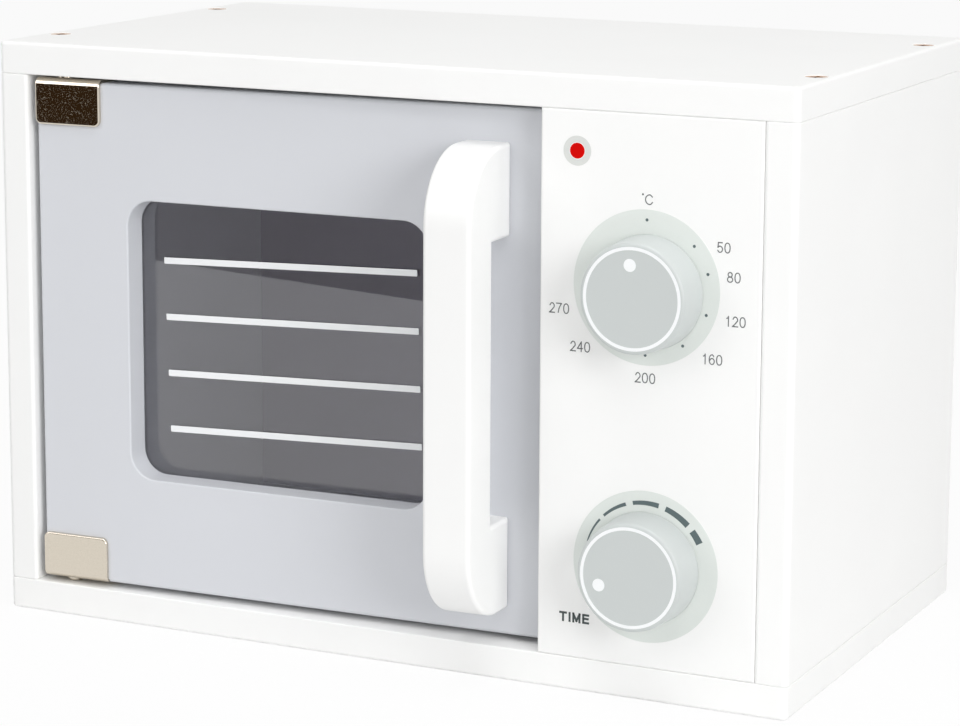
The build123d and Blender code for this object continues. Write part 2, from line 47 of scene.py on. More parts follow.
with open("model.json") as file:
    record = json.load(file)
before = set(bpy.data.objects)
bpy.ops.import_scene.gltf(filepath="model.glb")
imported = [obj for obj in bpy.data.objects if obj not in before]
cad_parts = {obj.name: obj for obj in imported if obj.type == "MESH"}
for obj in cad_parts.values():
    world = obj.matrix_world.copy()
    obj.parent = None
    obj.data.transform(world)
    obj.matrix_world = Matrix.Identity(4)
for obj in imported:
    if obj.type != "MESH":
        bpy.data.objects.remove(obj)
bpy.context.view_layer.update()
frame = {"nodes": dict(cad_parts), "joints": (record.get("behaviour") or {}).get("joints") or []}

MM = 0.001
CIRCLE_CORNERS = 96
SMOOTH_ANGLE = math.radians(30)
FILM_EDGE_ANGLE = math.radians(60)
NODES = frame["nodes"]
JOINTS = {joint["name"]: joint for joint in frame["joints"]}


# ---------------------------------------------------------------- colours and settings

def linear(code):
    """Linear red, green and blue of an sRGB hex colour."""
    channels = [int(code[start:start + 2], 16) / 255 for start in (1, 3, 5)]
    return [c / 12.92 if c <= 0.04045 else ((c + 0.055) / 1.055) ** 2.4 for c in channels]


def colour_setting(name, description, code):
    """A colour that the user may change, with its default as an sRGB hex value."""
    return FloatVectorProperty(name=name, description=description, subtype="COLOR", size=3,
                               min=0, max=1, default=linear(code))


def length_setting(name, description, millimetres):
    """A length that the user may change, with its default in millimetres."""
    return FloatProperty(name=name, description=description, unit="LENGTH", precision=5,
                         default=millimetres * MM)


class ToyOvenFinishes(bpy.types.PropertyGroup):
    """Colours of the materials."""
    board_paint: colour_setting("Board paint", "Satin paint of the cabinet's boards", "#FAFAF9")
    # Partly the hardboard's own violet-grey, partly painted shade that darkens the back wall inside
    hardboard_and_shade: colour_setting("Hardboard", "Lacquered hardboard of the back panel", "#A79EAD")
    door_paint: colour_setting("Door paint", "Satin paint of the door", "#D8DADF")
    handle_paint: colour_setting("Handle paint", "Semi-gloss paint of the handle", "#F9F9F8")
    knob_lacquer: colour_setting("Knob lacquer", "Lacquer of the two knobs", "#C9CECD")
    pane_smoke: colour_setting("Pane smoke", "Tint of the smoked acrylic pane", "#DEDFE7")
    nickel: colour_setting("Nickel", "Plating of the hinge clips and pins", "#DDD4C5")
    brass: colour_setting("Brass", "Plating of the cabinet's wood screws", "#B8864F")
    zinc: colour_setting("Zinc", "Plating of the small screws, plates and washers", "#C3C7CB")
    beech: colour_setting("Beech", "Bare wood of the dowels", "#D9B78C")
    nylon: colour_setting("Nylon", "Moulded nylon of bushes and catch housing", "#ECEBE6")
    ferrite: colour_setting("Ferrite", "Sintered magnet of the catch", "#2E2D2E")
    dial_foil: colour_setting("Dial foil", "Foil of the discs round the knobs", "#E2E7E3")
    white_ink: colour_setting("White ink", "Ink on knobs and pane", "#F8FAFB")
    number_ink: colour_setting("Number ink", "Ink of the temperature scale", "#66696B")
    dash_ink: colour_setting("Dash ink", "Ink of the time scale and the dots", "#5A696B")
    label_ink: colour_setting("Label ink", "Ink of the word under the time scale", "#465050")
    red_ink: colour_setting("Red ink", "Ink of the indicator", "#D50401")
    ring_ink: colour_setting("Ring ink", "Ink of the ring round the indicator", "#DCDEDB")


class ToyOvenPrints(bpy.types.PropertyGroup):
    """Sizes and places of what is printed on panel, knobs and pane."""
    film: length_setting("Film", "Thickness of a printed film", 0.05)
    disc_diameter: length_setting("Disc diameter", "Foil disc round a knob", 49.6)
    disc_thickness: length_setting("Disc thickness", "Foil disc round a knob", 0.1)
    temperature_disc_shift: length_setting("Temperature disc shift", "Left of its knob's axis", 0.9)
    temperature_disc_rise: length_setting("Temperature disc rise", "Above its knob's axis", 1.3)
    time_disc_shift: length_setting("Time disc shift", "Left of its knob's axis", 0.0)
    time_disc_rise: length_setting("Time disc rise", "Above its knob's axis", 0.3)
    dot_diameter: length_setting("Scale dot", "Dots of the temperature scale", 1.0)
    dot_radius: length_setting("Scale dot radius", "Dots' distance from the disc's centre", 21.5)
    digit_height: length_setting("Digit height", "Numbers of the temperature scale", 3.4)
    digit_stroke: length_setting("Digit stroke", "Width of the numbers' strokes", 0.36)
    digit_gap: length_setting("Digit gap", "Bare gap between the figures of a number", 0.4)
    label_height: length_setting("Label height", "Word beside the time knob", 3.3)
    label_stroke: length_setting("Label stroke", "Width of the word's strokes", 0.72)
    label_gap: length_setting("Label gap", "Bare gap between the word's letters", 0.6)
    dash_radius: length_setting("Dash radius", "Middle of the time scale's dashes", 20.9)
    ring_diameter: length_setting("Knob ring", "Outer diameter of the ring on a knob", 32.8)
    ring_width: length_setting("Knob ring width", "Width of the ring on a knob", 1.05)
    pointer_diameter: length_setting("Pointer", "Pointer dot of a knob", 4.1)
    pointer_radius: length_setting("Pointer radius", "Pointer's distance from the axis", 10.6)
    indicator_diameter: length_setting("Indicator", "Red dot above the dials", 5.05)
    indicator_ring: length_setting("Indicator ring", "Outer diameter of its ring", 9.5)
    indicator_gap: length_setting("Indicator gap", "Bare gap between dot and ring", 0.22)
    indicator_edge: length_setting("Indicator edge", "Its middle, from the panel's left edge", 12.6)
    indicator_drop: length_setting("Indicator drop", "Its middle, below the panel's top", 13.0)
    rack_length: length_setting("Rack line length", "White lines on the pane", 95.4)
    rack_width: length_setting("Rack line width", "White lines on the pane", 2.2)
    rack_pitch: length_setting("Rack line pitch", "From one white line to the next", 19.55)
    rack_count: IntProperty(name="Rack lines", description="White lines on the pane", default=4)
    rack_turn: FloatProperty(name="Rack turn", description="Turn of the lines on the pane",
                             subtype="ANGLE", default=math.radians(1.7))


class ToyOvenStudio(bpy.types.PropertyGroup):
    """Camera, lamps and background."""
    camera_place: FloatVectorProperty(name="Camera place", description="Where the camera stands",
                                      subtype="TRANSLATION", default=(0.4689, -0.9761, 0.3109))
    camera_yaw: FloatProperty(name="Camera yaw", description="Turn of the view to the left",
                              subtype="ANGLE", default=math.radians(25.773))
    camera_pitch: FloatProperty(name="Camera pitch", description="Slope of the view downwards",
                                subtype="ANGLE", default=math.radians(10.285))
    camera_roll: FloatProperty(name="Camera roll", description="Roll about the view's axis",
                               subtype="ANGLE", default=math.radians(0.253))
    camera_lens: FloatProperty(name="Lens", description="Focal length in millimetres",
                               default=117.86)
    camera_shift: FloatProperty(name="Shift", description="Upright shift, as a share of the width",
                                default=-0.0833)
    sky: FloatProperty(name="Sky", description="Light of the white surroundings", default=0.21)
    key: FloatProperty(name="Key", description="Lamp at the front left", unit="POWER",
                       default=16.0)
    fill: FloatProperty(name="Front fill", description="Lamp high at the front right",
                        unit="POWER", default=6.3)
    side: FloatProperty(name="Side fill", description="Lamp at the right", unit="POWER",
                        default=26.5)
    top: FloatProperty(name="Top fill", description="Lamp overhead", unit="POWER", default=21.5)
    floor: colour_setting("Floor", "Paper under the oven", "#EDEDED")
    floor_glow: FloatProperty(name="Floor white", min=0, max=1, default=0.93,
                              description="Share of plain white in the floor that is seen")
    # Painted reflection: colour of a glowing card that only metal and pane mirror
    card: colour_setting("Card", "Brown card that metal and pane reflect", "#342516")


# ---------------------------------------------------------------- modelling helpers

def select_only(piece):
    """Make this piece the active and only selected object."""
    bpy.ops.object.select_all(action="DESELECT")
    piece.select_set(True)
    bpy.context.view_layer.objects.active = piece


def start_piece(name, add, **settings):
    """Start a piece from a primitive, in place of an earlier piece of that name."""
    if name in bpy.data.objects:
        bpy.data.objects.remove(bpy.data.objects[name])
    bpy.ops.object.select_all(action="DESELECT")
    add(**settings)
    piece = bpy.context.object
    piece.name = name
    piece.data.name = name
    return piece


@contextmanager
def editing(piece):
    """Edit mode with the whole piece selected."""
    select_only(piece)
    bpy.ops.object.mode_set(mode="EDIT")
    bpy.ops.mesh.select_all(action="SELECT")
    yield
    bpy.ops.object.mode_set(mode="OBJECT")


def apply_modifier(piece, kind, **settings):
    """Give a piece one modifier and apply it."""
    select_only(piece)
    modifier = piece.modifiers.new(kind.title(), kind)
    for key, value in settings.items():
        setattr(modifier, key, value)
    bpy.ops.object.modifier_apply(modifier=modifier.name)


def raise_film(piece, thickness):
    """Give a flat outline its thickness, upwards, and soften the edge of the film."""
    apply_modifier(piece, "SOLIDIFY", thickness=thickness, offset=1)
    apply_modifier(piece, "BEVEL", width=thickness / 4, segments=1, limit_method="ANGLE",
                   angle_limit=FILM_EDGE_ANGLE)


def flat_disc(name, diameter, thickness):
    """Disc on the XY plane, with its flat top inside a narrow rim."""
    piece = start_piece(name, bpy.ops.mesh.primitive_circle_add, vertices=CIRCLE_CORNERS,
                        radius=diameter / 2, fill_type="NGON")
    with editing(piece):
        bpy.ops.mesh.inset(thickness=diameter / 20)
    raise_film(piece, thickness)
    return piece


def flat_ring(name, diameter, width, thickness):
    """Ring on the XY plane."""
    piece = start_piece(name, bpy.ops.mesh.primitive_circle_add, vertices=CIRCLE_CORNERS,
                        radius=diameter / 2, fill_type="NGON")
    with editing(piece):
        bpy.ops.mesh.inset(thickness=width)
        bpy.ops.mesh.delete(type="FACE")
    raise_film(piece, thickness)
    return piece


# Width and strokes of each character: a bar is straight, a bow is an open curve and a loop a closed
# one. Points are on the strokes' middle lines, as shares of the height between the outer ones; all
# figures are equally wide, so that a narrow one has room on both sides.
STROKES = {
    "0": (0.56, ("loop", ((0.28, 1), (0.56, 0.5), (0.28, 0), (0, 0.5)))),
    "1": (0.56, ("bow", ((0.12, 0.77), (0.27, 0.84), (0.36, 1))), ("bar", ((0.36, 1), (0.36, 0)))),
    "2": (0.56, ("bow", ((0.02, 0.72), (0.28, 1), (0.54, 0.72), (0.36, 0.38), (0, 0))),
          ("bar", ((0, 0), (0.56, 0)))),
    "4": (0.56, ("bar", ((0.42, 0), (0.42, 1))), ("bar", ((0.42, 1), (0, 0.3))),
          ("bar", ((0, 0.3), (0.56, 0.3)))),
    "5": (0.56, ("bar", ((0.5, 1), (0.1, 1))), ("bar", ((0.1, 1), (0.05, 0.5))),
          ("bow", ((0.05, 0.5), (0.28, 0.63), (0.55, 0.32), (0.27, 0), (0, 0.22)))),
    "6": (0.56, ("bow", ((0.52, 0.78), (0.3, 1), (0, 0.46), (0.28, 0), (0.55, 0.32), (0.29, 0.62),
                         (0.03, 0.38)))),
    "7": (0.56, ("bar", ((0, 1), (0.55, 1))), ("bow", ((0.55, 1), (0.3, 0.52), (0.18, 0)))),
    "8": (0.56, ("loop", ((0.28, 1), (0.5, 0.77), (0.28, 0.54), (0.06, 0.77))),
          ("loop", ((0.28, 0.54), (0.56, 0.27), (0.28, 0), (0, 0.27)))),
    "°": (0.1, ("loop", ((0.05, 1.06), (0.1, 1.01), (0.05, 0.96), (0, 1.01)))),
    "C": (0.82, ("bow", ((0.79, 0.76), (0.43, 1), (0, 0.5), (0.43, 0), (0.81, 0.26)))),
    "T": (0.77, ("bar", ((0, 1), (0.77, 1))), ("bar", ((0.385, 1), (0.385, 0)))),
    "I": (0.0, ("bar", ((0, 1), (0, 0)))),
    "M": (0.84, ("bar", ((0, 0), (0, 1))), ("bar", ((0, 1), (0.42, 0.12))),
          ("bar", ((0.42, 0.12), (0.84, 1))), ("bar", ((0.84, 1), (0.84, 0)))),
    "E": (0.66, ("bar", ((0, 0), (0, 1))), ("bar", ((0, 1), (0.66, 1))),
          ("bar", ((0, 0.53), (0.6, 0.53))), ("bar", ((0, 0), (0.66, 0)))),
}


def draw_character(character, height, stroke, film):
    """One character on the XY plane, its left edge at x = 0, drawn in strokes of even width."""
    piece = start_piece(f"character_{character}", bpy.ops.curve.primitive_bezier_curve_add)
    curve = piece.data
    curve.splines.clear()
    curve.bevel_depth = stroke / 2
    curve.bevel_resolution = 1
    curve.use_fill_caps = True
    reach = height - stroke
    for kind, points in STROKES[character][1:]:
        spline = curve.splines.new("BEZIER")
        spline.bezier_points.add(len(points) - 1)
        spline.use_cyclic_u = kind == "loop"
        for knot, (x, y) in zip(spline.bezier_points, points):
            knot.co = (x * reach + stroke / 2, (y - 0.5) * reach, 0)
            knot.handle_left_type = "VECTOR" if kind == "bar" else "AUTO"
            knot.handle_right_type = "VECTOR" if kind == "bar" else "AUTO"
        if kind == "bar":
            # A bar runs past its ends by half its width, so that bars meet in full corners
            first, last = spline.bezier_points[0], spline.bezier_points[-1]
            along = (last.co - first.co).normalized() * stroke / 2
            first.co -= along
            last.co += along
    bpy.ops.object.convert(target="MESH")
    piece = bpy.context.object
    piece.scale.z = film / stroke
    piece.location.z = film / 2
    bpy.ops.object.transform_apply(location=True, rotation=True, scale=True)
    return piece


def flat_lettering(name, text, height, stroke, gap, film, characters):
    """Centred lettering on the XY plane, from characters that are drawn once and copied."""
    row, end = [], 0.0
    for character in text:
        if character not in characters:
            characters[character] = draw_character(character, height, stroke, film)
        piece = copy_piece(characters[character], f"{name}_{len(row)}")
        place(piece, Matrix.Translation((end, 0, 0)))
        end += STROKES[character][0] * (height - stroke) + stroke + gap
        row.append(piece)
    word = join_pieces(name, row)
    place(word, Matrix.Translation(((gap - end) / 2, 0, 0)))
    return word


def draw_dash(name, radius, start, sweep, width_at):
    """A dash along a circle about the origin, its end extruded, turned and widened in steps."""
    steps = max(3, round(sweep / 2))
    turn = sweep / steps
    piece = start_piece(name, bpy.ops.mesh.primitive_plane_add, size=1)
    piece.scale = (radius * math.radians(turn), width_at(start), 1)
    piece.location = (0, radius, 0)
    bpy.ops.object.transform_apply(location=True, rotation=True, scale=True)
    bpy.ops.object.mode_set(mode="EDIT")
    bpy.ops.mesh.select_all(action="DESELECT")
    bpy.ops.object.mode_set(mode="OBJECT")
    for vertex in piece.data.vertices:
        vertex.select = vertex.co.x > 0
    bpy.ops.object.mode_set(mode="EDIT")
    bpy.ops.mesh.select_mode(type="VERT")
    for step in range(1, steps):
        angle = math.radians(turn * (step - 0.5))
        bpy.ops.mesh.extrude_edges_move()
        # With no window this operator turns clockwise for a positive angle
        bpy.ops.transform.rotate(value=math.radians(turn), orient_axis="Z",
                                 center_override=(0, 0, 0))
        middle = (radius * math.sin(angle + math.radians(turn)),
                  radius * math.cos(angle + math.radians(turn)), 0)
        growth = width_at(start + turn * (step + 1)) / width_at(start + turn * step)
        bpy.ops.transform.resize(value=(growth, growth, 1), center_override=middle)
    bpy.ops.object.mode_set(mode="OBJECT")
    place(piece, clock(start + turn / 2))
    return piece


def remove_pieces(pieces):
    """Remove patterns that were only there to be copied."""
    for piece in pieces:
        bpy.data.objects.remove(piece)


def place(piece, matrix):
    """Move a piece, and keep the move in its mesh."""
    select_only(piece)
    piece.matrix_world = matrix @ piece.matrix_world
    bpy.ops.object.transform_apply(location=True, rotation=True, scale=True)


def copy_piece(piece, name):
    """Copy a piece with a mesh of its own."""
    select_only(piece)
    bpy.ops.object.duplicate(linked=False)
    twin = bpy.context.object
    twin.name = name
    return twin


def join_pieces(name, pieces):
    """Join pieces into one of this name."""
    if name in bpy.data.objects:
        bpy.data.objects.remove(bpy.data.objects[name])
    select_only(pieces[0])
    for piece in pieces:
        piece.select_set(True)
    bpy.ops.object.join()
    joined = bpy.context.object
    joined.name = name
    joined.data.name = name
    return joined


def finish_piece(piece, body, material):
    """Give a new piece its finish and let it move with a body of the part."""
    piece.data.materials.clear()
    piece.data.materials.append(material)
    select_only(piece)
    bpy.ops.object.shade_smooth_by_angle(angle=SMOOTH_ANGLE)
    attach(piece, body)


# ---------------------------------------------------------------- places

def facing_front(x, y, z):
    """Place whose own x is to the right, own y is up and own z looks out of the front."""
    return Matrix.Translation((x, y, z)) @ Matrix.Rotation(math.radians(90), 4, "X")


def clock(angle):
    """Turn clockwise from the top, in degrees, for a piece on the XY plane."""
    return Matrix.Rotation(-math.radians(angle), 4, "Z")


def knob_axis(knob):
    """Point on a knob's axis."""
    return Vector(JOINTS[f"{knob}_turn"]["pos_m"])


def disc_place(prints, knob, lift=0.0):
    """Place of the foil disc round a knob, this far in front of the panel."""
    shift = {"temperature_knob": prints.temperature_disc_shift, "time_knob": prints.time_disc_shift}
    rise = {"temperature_knob": prints.temperature_disc_rise, "time_knob": prints.time_disc_rise}
    axis = knob_axis(knob)
    panel_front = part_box("control_panel")[0].y
    return facing_front(axis.x - shift[knob], panel_front - lift, axis.z + rise[knob])


def pane_place():
    """Place on the middle of the pane's front, turned as the pane is."""
    faces = [face for face in NODES["window_pane"].data.polygons if face.normal.y < -0.5]
    front = max(faces, key=lambda face: face.area)
    low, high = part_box("window_pane")
    middle = (low + high) / 2
    outward = front.normal.copy()
    middle += outward * outward.dot(front.center - middle)
    right = Vector((0, 0, 1)).cross(outward).normalized()
    turned = Matrix((right, Vector((0, 0, 1)), outward)).transposed().to_4x4()
    return Matrix.Translation(middle) @ turned


# ---------------------------------------------------------------- materials

def per_metre(millimetres):
    """Scale of a pattern whose features are this wide."""
    return 1 / (millimetres * MM)


def opaque(colour):
    """A setting's colour with full alpha, as a socket takes it."""
    return (*colour, 1.0)


def add_node(tree, kind, settings, **links):
    """Add a node, set attributes and sockets, and link inputs by name or as input_NUMBER."""
    node = tree.nodes.new(kind)
    for key, value in settings.items():
        if isinstance(key, int) or key in node.inputs:
            node.inputs[key].default_value = value
        else:
            setattr(node, key, value)
    for key, output in links.items():
        socket = int(key[6:]) if key.startswith("input_") else key.replace("_", " ")
        tree.links.new(output, node.inputs[socket])
    return node


def start_material(name, colour, **sockets):
    """A material of this name with a Principled shader; returns it, its nodes and the shader."""
    if name in bpy.data.materials:
        bpy.data.materials.remove(bpy.data.materials[name])
    material = bpy.data.materials.new(name)
    material.use_nodes = True
    material.diffuse_color = opaque(colour)
    tree = material.node_tree
    shader = tree.nodes["Principled BSDF"]
    shader.inputs["Base Color"].default_value = opaque(colour)
    for socket, value in sockets.items():
        shader.inputs[socket.replace("_", " ")].default_value = value
    return material, tree, shader


def sprayed_paint(name, colour, roughness, peel_mm):
    """Sprayed paint: nearly even colour, with the soft ripple that sprayed paint dries to."""
    material, tree, shader = start_material(name, colour)
    place_on = add_node(tree, "ShaderNodeTexCoord", {}).outputs["Object"]
    # Slow drift of the tone, from uneven coats over the board
    drift = add_node(tree, "ShaderNodeTexNoise", {"Scale": per_metre(55), "Detail": 3.0},
                     Vector=place_on)
    darker = [channel * 0.965 for channel in colour]
    tone = add_node(tree, "ShaderNodeMix", {"data_type": "RGBA", 6: opaque(darker),
                                            7: opaque(colour)}, Factor=drift.outputs["Fac"])
    # The ripple is finer in truth; it is drawn as coarse as it needs to show
    peel = add_node(tree, "ShaderNodeTexNoise", {"Scale": per_metre(peel_mm), "Detail": 2.0},
                    Vector=place_on)
    gloss = add_node(tree, "ShaderNodeMapRange", {"To Min": roughness - 0.05,
                                                  "To Max": roughness + 0.05},
                     Value=peel.outputs["Fac"])
    ripple = add_node(tree, "ShaderNodeBump", {"Strength": 0.25, "Distance": 0.04 * MM},
                      Height=peel.outputs["Fac"])
    tree.links.new(tone.outputs[2], shader.inputs["Base Color"])
    tree.links.new(gloss.outputs["Result"], shader.inputs["Roughness"])
    tree.links.new(ripple.outputs["Normal"], shader.inputs["Normal"])
    return material


def smoked_acrylic(name, colour):
    """Smoked acrylic sheet: clear, tinted cool grey all through, under a hard coat that mirrors."""
    material, tree, shader = start_material(name, colour, IOR=1.49, Transmission_Weight=1.0,
                                            Coat_Weight=1.0, Coat_IOR=1.6, Coat_Roughness=0.0)
    place_on = add_node(tree, "ShaderNodeTexCoord", {}).outputs["Object"]
    # Faint haze of handling, a few centimetres across
    haze = add_node(tree, "ShaderNodeTexNoise", {"Scale": per_metre(30), "Detail": 4.0},
                    Vector=place_on)
    rub = add_node(tree, "ShaderNodeMapRange", {"To Min": 0.0, "To Max": 0.03},
                   Value=haze.outputs["Fac"])
    tree.links.new(rub.outputs["Result"], shader.inputs["Roughness"])
    return material


def plated_metal(name, colour, roughness, dull_specks, mottle_mm, relief_mm):
    """Bright plating over pressed or turned steel: a mirror that the metal under it unsettles."""
    material, tree, shader = start_material(name, colour, Metallic=1.0)
    place_on = add_node(tree, "ShaderNodeTexCoord", {}).outputs["Object"]
    mottle = add_node(tree, "ShaderNodeTexNoise", {"Scale": per_metre(mottle_mm), "Detail": 4.0},
                      Vector=place_on)
    duller = [channel * 0.88 for channel in colour]
    tone = add_node(tree, "ShaderNodeMix", {"data_type": "RGBA", 6: opaque(duller),
                                            7: opaque(colour)}, Factor=mottle.outputs["Fac"])
    # Most of the surface mirrors well; specks of it, where the plating took badly, are dull
    gloss = add_node(tree, "ShaderNodeMapRange", {"From Min": 0.51, "From Max": 0.7,
                                                  "To Min": roughness, "To Max": dull_specks},
                     Value=mottle.outputs["Fac"])
    dents = add_node(tree, "ShaderNodeBump", {"Strength": 0.4, "Distance": relief_mm * MM},
                     Height=mottle.outputs["Fac"])
    tree.links.new(tone.outputs[2], shader.inputs["Base Color"])
    tree.links.new(gloss.outputs["Result"], shader.inputs["Roughness"])
    tree.links.new(dents.outputs["Normal"], shader.inputs["Normal"])
    return material


def turned_beech(name, colour):
    """Bare beech dowel rod: pale, with short darker flecks along the rod."""
    material, tree, shader = start_material(name, colour, Roughness=0.6)
    place_on = add_node(tree, "ShaderNodeTexCoord", {}).outputs["Object"]
    # Flecks 0.4 mm wide and ten times as long, upright as the rods are
    along = add_node(tree, "ShaderNodeMapping", {"Scale": (1.0, 1.0, 0.1)}, Vector=place_on)
    flecks = add_node(tree, "ShaderNodeTexNoise", {"Scale": per_metre(0.4), "Detail": 4.0},
                      Vector=along.outputs["Vector"])
    darker = [channel * 0.6 for channel in colour]
    grain = add_node(tree, "ShaderNodeMix", {"data_type": "RGBA", 6: opaque(darker),
                                             7: opaque(colour)}, Factor=flecks.outputs["Fac"])
    tree.links.new(grain.outputs[2], shader.inputs["Base Color"])
    return material


def fine_grained(name, colour, roughness, grain_mm, depth, shine=0.5):
    """Even material with a fine grain: moulded nylon, pressed ferrite, foil or dried ink."""
    material, tree, shader = start_material(name, colour, Roughness=roughness,
                                            Specular_IOR_Level=shine)
    place_on = add_node(tree, "ShaderNodeTexCoord", {}).outputs["Object"]
    grain = add_node(tree, "ShaderNodeTexNoise", {"Scale": per_metre(grain_mm), "Detail": 2.0},
                     Vector=place_on)
    darker = [channel * (1 - depth) for channel in colour]
    tone = add_node(tree, "ShaderNodeMix", {"data_type": "RGBA", 6: opaque(darker),
                                            7: opaque(colour)}, Factor=grain.outputs["Fac"])
    tree.links.new(tone.outputs[2], shader.inputs["Base Color"])
    return material


def dress(material, *nodes):
    """Give nodes of the part a material."""
    for node in nodes:
        slots = NODES[node].material_slots
        if not slots:
            raise RuntimeError(f"{node} has no material slot")
        for slot in slots:
            slot.material = material


# ---------------------------------------------------------------- operators: the part's own pieces

class TOYOVEN_OT_paint_cabinet(bpy.types.Operator):
    """Paint the cabinet's boards and its back panel"""
    bl_idname = "toy_oven.paint_cabinet"
    bl_label = "Paint cabinet"

    def execute(self, context):
        colours = context.scene.toy_oven_finishes
        # Satin paint on fibreboard: bright white, a soft sheen on the rounded edges
        paint = sprayed_paint("white_satin_paint", colours.board_paint, roughness=0.58,
                              peel_mm=1.6)
        dress(paint, "bottom_board", "top_board", "left_side_board", "right_side_board",
              "divider_board", "control_panel")
        # Lacquered hardboard: violet-grey, partly its own tone and partly painted shade of the dim
        # back wall inside, about as dull as the boards
        dress(sprayed_paint("lacquered_hardboard", colours.hardboard_and_shade, roughness=0.6, peel_mm=0.9),
              "back_panel")
        return {"FINISHED"}


class TOYOVEN_OT_paint_door(bpy.types.Operator):
    """Paint the door and its handle"""
    bl_idname = "toy_oven.paint_door"
    bl_label = "Paint door and handle"

    def execute(self, context):
        colours = context.scene.toy_oven_finishes
        # Satin paint on fibreboard: cool light grey
        dress(sprayed_paint("grey_satin_paint", colours.door_paint, roughness=0.45, peel_mm=1.6),
              "door_board")
        # Semi-gloss paint on wood: white, glossier than the boards
        dress(sprayed_paint("white_semigloss_paint", colours.handle_paint, roughness=0.32,
                            peel_mm=2.4), "door_handle")
        return {"FINISHED"}


class TOYOVEN_OT_smoke_pane(bpy.types.Operator):
    """Make the window pane smoked acrylic"""
    bl_idname = "toy_oven.smoke_pane"
    bl_label = "Smoke pane"

    def execute(self, context):
        colours = context.scene.toy_oven_finishes
        dress(smoked_acrylic("smoked_acrylic", colours.pane_smoke), "window_pane")
        return {"FINISHED"}


class TOYOVEN_OT_plate_hardware(bpy.types.Operator):
    """Plate the hinge, screws, washers and catch plates"""
    bl_idname = "toy_oven.plate_hardware"
    bl_label = "Plate hardware"

    def execute(self, context):
        colours = context.scene.toy_oven_finishes
        # Nickel plate on pressed steel: a warm mirror, mottled by the pressing
        nickel = plated_metal("nickel_plate", colours.nickel, roughness=0.07, dull_specks=0.26,
                              mottle_mm=0.5, relief_mm=0.03)
        dress(nickel, "top_hinge_clip", "bottom_hinge_clip", "hinge_pins")
        # Brass plate on turned steel: golden brown, satin
        brass = plated_metal("brass_plate", colours.brass, roughness=0.25, dull_specks=0.4,
                             mottle_mm=1.2, relief_mm=0.02)
        dress(brass, "bottom_board_screws", "top_board_screws")
        # Zinc plate on turned and cut steel: cool grey, satin
        zinc = plated_metal("zinc_plate", colours.zinc, roughness=0.28, dull_specks=0.42,
                            mottle_mm=1.0, relief_mm=0.02)
        dress(zinc, "pane_screws", "handle_screws", "clip_screws", "strike_plate",
              "strike_screws", "catch_screws", "catch_pole_plates", "temperature_knob_screw",
              "temperature_knob_washer", "time_knob_screw", "time_knob_washer")
        return {"FINISHED"}


class TOYOVEN_OT_finish_inner_parts(bpy.types.Operator):
    """Finish the dowels, bushes, catch housing and magnet"""
    bl_idname = "toy_oven.finish_inner_parts"
    bl_label = "Finish inner parts"

    def execute(self, context):
        colours = context.scene.toy_oven_finishes
        dress(turned_beech("turned_beech", colours.beech), "dowels")
        # Moulded nylon: milky white, matt
        dress(fine_grained("moulded_nylon", colours.nylon, roughness=0.5, grain_mm=0.6,
                           depth=0.04), "hinge_bushes", "catch_housing")
        # Sintered ferrite: almost black, dull and grainy
        dress(fine_grained("sintered_ferrite", colours.ferrite, roughness=0.7, grain_mm=0.5,
                           depth=0.3), "catch_magnet")
        return {"FINISHED"}


class TOYOVEN_OT_lacquer_knobs(bpy.types.Operator):
    """Lacquer the two knobs"""
    bl_idname = "toy_oven.lacquer_knobs"
    bl_label = "Lacquer knobs"

    def execute(self, context):
        colours = context.scene.toy_oven_finishes
        # Lacquer on turned wood: even cool grey, soft sheen
        dress(sprayed_paint("grey_lacquer", colours.knob_lacquer, roughness=0.4, peel_mm=2.0),
              "temperature_knob", "time_knob")
        return {"FINISHED"}


# ---------------------------------------------------------------- operators: printed pieces

class TOYOVEN_OT_lay_dial_discs(bpy.types.Operator):
    """Lay the foil discs round the knobs"""
    bl_idname = "toy_oven.lay_dial_discs"
    bl_label = "Lay dial discs"

    def execute(self, context):
        prints = context.scene.toy_oven_prints
        colours = context.scene.toy_oven_finishes
        # Matt vinyl foil: pale greenish grey
        foil = fine_grained("matt_vinyl_foil", colours.dial_foil, roughness=0.55, grain_mm=0.8,
                            depth=0.02)
        disc = flat_disc("temperature_dial_print", prints.disc_diameter, prints.disc_thickness)
        twin = copy_piece(disc, "time_dial_print")
        for piece, knob in ((disc, "temperature_knob"), (twin, "time_knob")):
            place(piece, disc_place(prints, knob))
            finish_piece(piece, "cabinet", foil)
        return {"FINISHED"}


